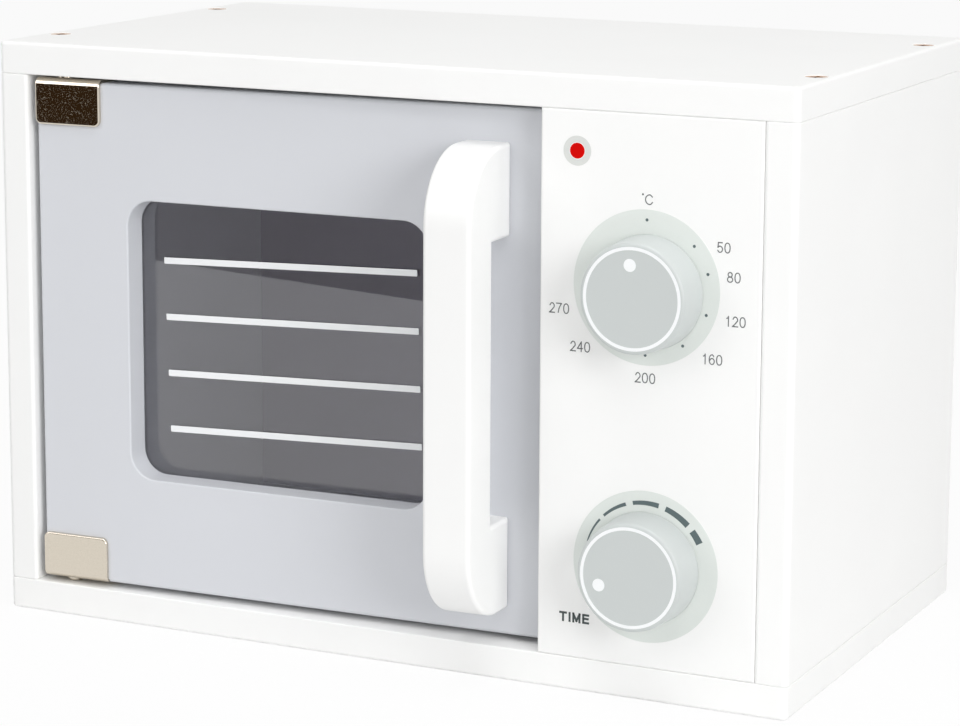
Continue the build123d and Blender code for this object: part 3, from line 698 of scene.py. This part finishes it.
class TOYOVEN_OT_print_temperature_scale(bpy.types.Operator):
    """Print the dots, numbers and unit of the temperature scale"""
    bl_idname = "toy_oven.print_temperature_scale"
    bl_label = "Print temperature scale"

    # Clock angles of the dots, in degrees; each text with its place, in millimetres right of and
    # above the disc's middle
    dot_angles = (0, 48, 74, 109, 144, 180, 216, 251)
    numbers = (("50", 25.7, 14.7), ("80", 29.2, 5.6), ("120", 29.9, -8.2), ("160", 22.4, -20.8),
               ("200", 0.0, -28.8), ("240", -22.4, -20.8), ("270", -29.8, -9.0))
    unit = ("°C", 0.1, 27.9)

    def execute(self, context):
        prints = context.scene.toy_oven_prints
        colours = context.scene.toy_oven_finishes
        # Screen ink: thin, matt mid grey
        ink = fine_grained("grey_screen_ink", colours.number_ink, roughness=0.6, grain_mm=0.3,
                           depth=0.08)
        # The same ink, laid on thicker
        dot_ink = fine_grained("thick_grey_screen_ink", colours.dash_ink, roughness=0.6,
                               grain_mm=0.3, depth=0.08)
        on_disc = disc_place(prints, "temperature_knob", prints.disc_thickness)
        pattern = flat_disc("scale_dot", prints.dot_diameter, prints.film)
        place(pattern, Matrix.Translation((0, prints.dot_radius, 0)))
        dots = []
        for number, angle in enumerate(self.dot_angles):
            dot = copy_piece(pattern, f"scale_dot_{number}")
            place(dot, clock(angle))
            dots.append(dot)
        remove_pieces([pattern])
        scale = join_pieces("temperature_dots_print", dots)
        place(scale, on_disc)
        finish_piece(scale, "cabinet", dot_ink)
        on_panel = disc_place(prints, "temperature_knob")
        characters = {}
        figures = []
        for text, x, z in self.numbers + (self.unit,):
            figure = flat_lettering(f"lettering_{text}", text, prints.digit_height,
                                    prints.digit_stroke, prints.digit_gap, prints.film, characters)
            place(figure, Matrix.Translation((x * MM, z * MM, 0)))
            figures.append(figure)
        remove_pieces(characters.values())
        unit = figures.pop()
        unit.name = "celsius_print"
        for piece in (join_pieces("temperature_numbers_print", figures), unit):
            place(piece, on_panel)
            finish_piece(piece, "cabinet", ink)
        return {"FINISHED"}


class TOYOVEN_OT_print_time_scale(bpy.types.Operator):
    """Print the dashes that widen clockwise, and the word beside the time knob"""
    bl_idname = "toy_oven.print_time_scale"
    bl_label = "Print time scale"

    # Clock angles in degrees; the word's place in millimetres right of and above the disc's middle
    dash_starts = (-73.2, -43.5, -12.2, 19.0, 49.7)
    dash_sweeps = (24.5, 24.5, 24.5, 24.5, 12.5)
    label_place = (-24.4, -19.9)

    @staticmethod
    def dash_width(angle):
        """Width of the time scale at this angle, clockwise from the top."""
        return (1.48 + 0.0146 * angle) * MM

    def execute(self, context):
        prints = context.scene.toy_oven_prints
        colours = context.scene.toy_oven_finishes
        # Screen ink: matt, dark blue-grey
        ink = fine_grained("slate_screen_ink", colours.dash_ink, roughness=0.6, grain_mm=0.3,
                           depth=0.08)
        dashes = []
        for number, (start, sweep) in enumerate(zip(self.dash_starts, self.dash_sweeps)):
            dashes.append(draw_dash(f"dash_{number}", prints.dash_radius, start, sweep,
                                    self.dash_width))
        scale = join_pieces("time_dashes_print", dashes)
        apply_modifier(scale, "SOLIDIFY", thickness=prints.film, offset=1)
        place(scale, disc_place(prints, "time_knob", prints.disc_thickness))
        finish_piece(scale, "cabinet", ink)
        # The same ink, laid on thicker and darker
        dark_ink = fine_grained("dark_screen_ink", colours.label_ink, roughness=0.6, grain_mm=0.3,
                                depth=0.08)
        characters = {}
        label = flat_lettering("time_label_print", "TIME", prints.label_height,
                               prints.label_stroke, prints.label_gap, prints.film, characters)
        remove_pieces(characters.values())
        x, z = self.label_place
        place(label, disc_place(prints, "time_knob") @ Matrix.Translation((x * MM, z * MM, 0)))
        finish_piece(label, "cabinet", dark_ink)
        return {"FINISHED"}


class TOYOVEN_OT_print_indicator(bpy.types.Operator):
    """Print the red indicator and its ring above the dials"""
    bl_idname = "toy_oven.print_indicator"
    bl_label = "Print indicator"

    def execute(self, context):
        prints = context.scene.toy_oven_prints
        colours = context.scene.toy_oven_finishes
        low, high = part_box("control_panel")
        middle = facing_front(low.x + prints.indicator_edge, low.y, high.z - prints.indicator_drop)
        dot = flat_disc("indicator_dot_print", prints.indicator_diameter, prints.film)
        place(dot, middle)
        # Screen ink: saturated signal red
        finish_piece(dot, "cabinet",
                     fine_grained("red_screen_ink", colours.red_ink, roughness=0.5, grain_mm=0.4,
                                  depth=0.06, shine=0.05))
        gap = prints.indicator_diameter / 2 + prints.indicator_gap
        ring = flat_ring("indicator_ring_print", prints.indicator_ring,
                         prints.indicator_ring / 2 - gap, prints.film)
        place(ring, middle)
        # Screen ink: pale warm grey, a shade off the panel
        finish_piece(ring, "cabinet",
                     fine_grained("pale_screen_ink", colours.ring_ink, roughness=0.55,
                                  grain_mm=0.4, depth=0.04))
        return {"FINISHED"}


class TOYOVEN_OT_print_knobs(bpy.types.Operator):
    """Print the white ring and pointer on the face of each knob"""
    bl_idname = "toy_oven.print_knobs"
    bl_label = "Print knobs"

    # Clock angles in degrees, with the knobs as they are at rest
    pointer_angles = {"temperature_knob": -4.0, "time_knob": -109.0}

    def execute(self, context):
        prints = context.scene.toy_oven_prints
        colours = context.scene.toy_oven_finishes
        # Pad-printed ink: opaque cool white
        ink = fine_grained("white_pad_ink", colours.white_ink, roughness=0.5, grain_mm=0.4,
                           depth=0.03)
        ring = flat_ring("ring_pattern", prints.ring_diameter, prints.ring_width, prints.film)
        pointer = flat_disc("pointer_pattern", prints.pointer_diameter, prints.film)
        place(pointer, Matrix.Translation((0, prints.pointer_radius, 0)))
        for knob, angle in self.pointer_angles.items():
            axis = knob_axis(knob)
            on_knob = facing_front(axis.x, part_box(knob)[0].y, axis.z)
            for pattern, piece_name in ((ring, f"{knob}_ring_print"),
                                        (pointer, f"{knob}_pointer_print")):
                if piece_name in bpy.data.objects:
                    bpy.data.objects.remove(bpy.data.objects[piece_name])
                piece = copy_piece(pattern, piece_name)
                place(piece, on_knob @ clock(angle))
                finish_piece(piece, knob, ink)
        remove_pieces([ring, pointer])
        return {"FINISHED"}


class TOYOVEN_OT_print_rack_lines(bpy.types.Operator):
    """Print the white rack lines on the pane"""
    bl_idname = "toy_oven.print_rack_lines"
    bl_label = "Print rack lines"

    # Middle of the lines from the pane's middle, in millimetres
    right_shift = 1.2
    upward_shift = -1.15

    def execute(self, context):
        prints = context.scene.toy_oven_prints
        colours = context.scene.toy_oven_finishes
        first = start_piece("rack_line", bpy.ops.mesh.primitive_plane_add, size=1)
        first.scale = (prints.rack_length, prints.rack_width, 1)
        bpy.ops.object.transform_apply(location=True, rotation=True, scale=True)
        with editing(first):
            bpy.ops.mesh.bevel(offset=prints.rack_width / 12, segments=3, affect="VERTICES")
        raise_film(first, prints.film)
        lines = [first]
        for number in range(1, prints.rack_count):
            lines.append(copy_piece(first, f"rack_line_{number}"))
        for number, line in enumerate(lines):
            rise = (number - (prints.rack_count - 1) / 2) * prints.rack_pitch
            place(line, Matrix.Translation((0, rise, 0)))
        rack = join_pieces("rack_lines_print", lines)
        middle = Matrix.Translation((self.right_shift * MM, self.upward_shift * MM, 0))
        place(rack, pane_place() @ middle @ Matrix.Rotation(prints.rack_turn, 4, "Z"))
        # Screen ink: opaque, slightly blue white
        finish_piece(rack, "door",
                     fine_grained("white_screen_ink", colours.white_ink, roughness=0.5,
                                  grain_mm=0.4, depth=0.03))
        return {"FINISHED"}


# ---------------------------------------------------------------- operator: the studio

class TOYOVEN_OT_build_studio(bpy.types.Operator):
    """Set up floor, lamps, a glowing card for painted reflections, surroundings and camera"""
    bl_idname = "toy_oven.build_studio"
    bl_label = "Build studio"

    floor_radius = 6.0
    floor_corners = 64
    card_size = (0.46, 0.27, 1)
    card_place = (-0.31, -0.547, 0.165)
    card_turn = math.radians(16.3)
    target = (0.0, 0.0, 0.1)
    # Place and size of each lamp, in metres; its power is the setting of the same name
    lamps = {"key": ((-1.5, -1.9, 1.2), 1.8), "fill": ((0.9, -1.3, 1.7), 0.9),
             "side": ((2.0, -1.2, 0.8), 1.2), "top": ((0.2, -0.3, 2.3), 1.6)}

    def lamp(self, name, location, size, power):
        """Soft lamp that looks at the oven and that the camera doesn't see."""
        data = bpy.data.lights.new(name, "AREA")
        data.shape = "DISK"
        data.size = size
        data.energy = power
        lamp = bpy.data.objects.new(name, data)
        bpy.context.scene.collection.objects.link(lamp)
        lamp.location = location
        view = Vector(self.target) - Vector(location)
        lamp.rotation_euler = view.to_track_quat("-Z", "Y").to_euler()
        lamp.visible_camera = False

    def seen(self, tree):
        """1 for what is seen straight, mirrored or through the pane, and 0 for light."""
        path = add_node(tree, "ShaderNodeLightPath", {})
        direct = add_node(tree, "ShaderNodeMath", {"operation": "MAXIMUM"},
                          input_0=path.outputs["Is Camera Ray"],
                          input_1=path.outputs["Is Glossy Ray"])
        # Light that went through the pane comes from a dull surface, so it has a diffuse bounce
        undimmed = add_node(tree, "ShaderNodeMath", {"operation": "LESS_THAN", 1: 0.5},
                            input_0=path.outputs["Diffuse Depth"])
        through = add_node(tree, "ShaderNodeMath", {"operation": "MULTIPLY"},
                           input_0=path.outputs["Is Transmission Ray"],
                           input_1=undimmed.outputs[0])
        either = add_node(tree, "ShaderNodeMath", {"operation": "MAXIMUM"},
                          input_0=direct.outputs[0], input_1=through.outputs[0])
        return either.outputs[0]

    def white_world(self, sky):
        """White surroundings as seen, and a softer light from them on the oven."""
        world = bpy.data.worlds.new("white_surroundings")
        world.use_nodes = True
        tree = world.node_tree
        background = tree.nodes["Background"]
        background.inputs["Color"].default_value = (1, 1, 1, 1)
        strength = add_node(tree, "ShaderNodeMix", {"data_type": "FLOAT", 2: sky, 3: 1.0},
                            Factor=self.seen(tree))
        tree.links.new(strength.outputs[0], background.inputs["Strength"])
        bpy.context.scene.world = world

    def floor_paper(self, colour, glow):
        """White paper that nearly disappears where it is seen, and keeps the oven's shadow."""
        material, tree, shader = start_material("white_paper_floor", colour, Roughness=0.9)
        share = add_node(tree, "ShaderNodeMath", {"operation": "MULTIPLY", 1: glow},
                         input_0=self.seen(tree))
        white = add_node(tree, "ShaderNodeEmission", {"Color": (1, 1, 1, 1), "Strength": 1.0})
        mixed = add_node(tree, "ShaderNodeMixShader", {}, Fac=share.outputs[0],
                         input_1=shader.outputs["BSDF"], input_2=white.outputs["Emission"])
        output = tree.nodes["Material Output"]
        tree.links.new(mixed.outputs["Shader"], output.inputs["Surface"])
        return material

    def execute(self, context):
        studio = context.scene.toy_oven_studio
        scene = context.scene
        scene.view_settings.view_transform = "Standard"

        floor = start_piece("studio_floor", bpy.ops.mesh.primitive_circle_add,
                            vertices=self.floor_corners, radius=self.floor_radius,
                            fill_type="NGON")
        floor.data.materials.append(self.floor_paper(studio.floor, studio.floor_glow))

        card = start_piece("brown_card", bpy.ops.mesh.primitive_plane_add, size=1)
        card.scale = self.card_size
        bpy.ops.object.transform_apply(scale=True)
        card.matrix_world = (Matrix.Translation(self.card_place)
                             @ Matrix.Rotation(self.card_turn, 4, "Z")
                             @ Matrix.Rotation(math.radians(90), 4, "X"))
        # Painted reflection: a brown card that glows evenly in its own colour and that only metal
        # and pane mirror, so that no lamp changes its reflection
        material, tree, shader = start_material("matt_card", studio.card)
        tree.nodes.remove(shader)
        glow = add_node(tree, "ShaderNodeEmission", {"Color": opaque(studio.card),
                                                     "Strength": 1.0})
        tree.links.new(glow.outputs["Emission"], tree.nodes["Material Output"].inputs["Surface"])
        card.data.materials.append(material)
        card.visible_camera = False
        card.visible_diffuse = False
        card.visible_shadow = False
        card.visible_transmission = False

        for name, (location, size) in self.lamps.items():
            self.lamp(f"{name}_lamp", location, size, getattr(studio, name))
        self.white_world(studio.sky)

        data = bpy.data.cameras.new("camera")
        data.lens = studio.camera_lens
        data.shift_y = studio.camera_shift
        camera = bpy.data.objects.new("camera", data)
        scene.collection.objects.link(camera)
        camera.location = studio.camera_place
        turn = (Matrix.Rotation(studio.camera_yaw, 4, "Z")
                @ Matrix.Rotation(math.radians(90) - studio.camera_pitch, 4, "X")
                @ Matrix.Rotation(studio.camera_roll, 4, "Z"))
        camera.rotation_euler = turn.to_euler()
        scene.camera = camera
        return {"FINISHED"}


# ---------------------------------------------------------------- panel and registration

STEPS = (TOYOVEN_OT_paint_cabinet, TOYOVEN_OT_paint_door, TOYOVEN_OT_smoke_pane,
         TOYOVEN_OT_plate_hardware, TOYOVEN_OT_finish_inner_parts, TOYOVEN_OT_lacquer_knobs,
         TOYOVEN_OT_lay_dial_discs, TOYOVEN_OT_print_temperature_scale,
         TOYOVEN_OT_print_time_scale, TOYOVEN_OT_print_indicator, TOYOVEN_OT_print_knobs,
         TOYOVEN_OT_print_rack_lines, TOYOVEN_OT_build_studio)


class TOYOVEN_PT_steps(bpy.types.Panel):
    """Lists the steps that dress the oven"""
    bl_label = "Toy oven"
    bl_idname = "TOYOVEN_PT_steps"
    bl_space_type = "VIEW_3D"
    bl_region_type = "UI"
    bl_category = "Toy oven"

    def draw(self, context):
        column = self.layout.column(align=True)
        for step in STEPS:
            column.operator(step.bl_idname)
        for group in (context.scene.toy_oven_finishes, context.scene.toy_oven_prints,
                      context.scene.toy_oven_studio):
            box = self.layout.box()
            for setting in group.__annotations__:
                box.prop(group, setting)


GROUPS = {"toy_oven_finishes": ToyOvenFinishes, "toy_oven_prints": ToyOvenPrints,
          "toy_oven_studio": ToyOvenStudio}


def register():
    """Register settings, steps and panel."""
    for group in GROUPS.values():
        bpy.utils.register_class(group)
    for name, group in GROUPS.items():
        setattr(bpy.types.Scene, name, PointerProperty(type=group))
    for step in STEPS:
        bpy.utils.register_class(step)
    bpy.utils.register_class(TOYOVEN_PT_steps)


def unregister():
    """Take settings, steps and panel away again."""
    bpy.utils.unregister_class(TOYOVEN_PT_steps)
    for step in reversed(STEPS):
        bpy.utils.unregister_class(step)
    for name in GROUPS:
        delattr(bpy.types.Scene, name)
    for group in reversed(GROUPS.values()):
        bpy.utils.unregister_class(group)


def main():
    """Dress the whole oven."""
    register()
    for step in STEPS:
        area, name = step.bl_idname.split(".")
        getattr(getattr(bpy.ops, area), name)()


if __name__ == "__main__":
    main()
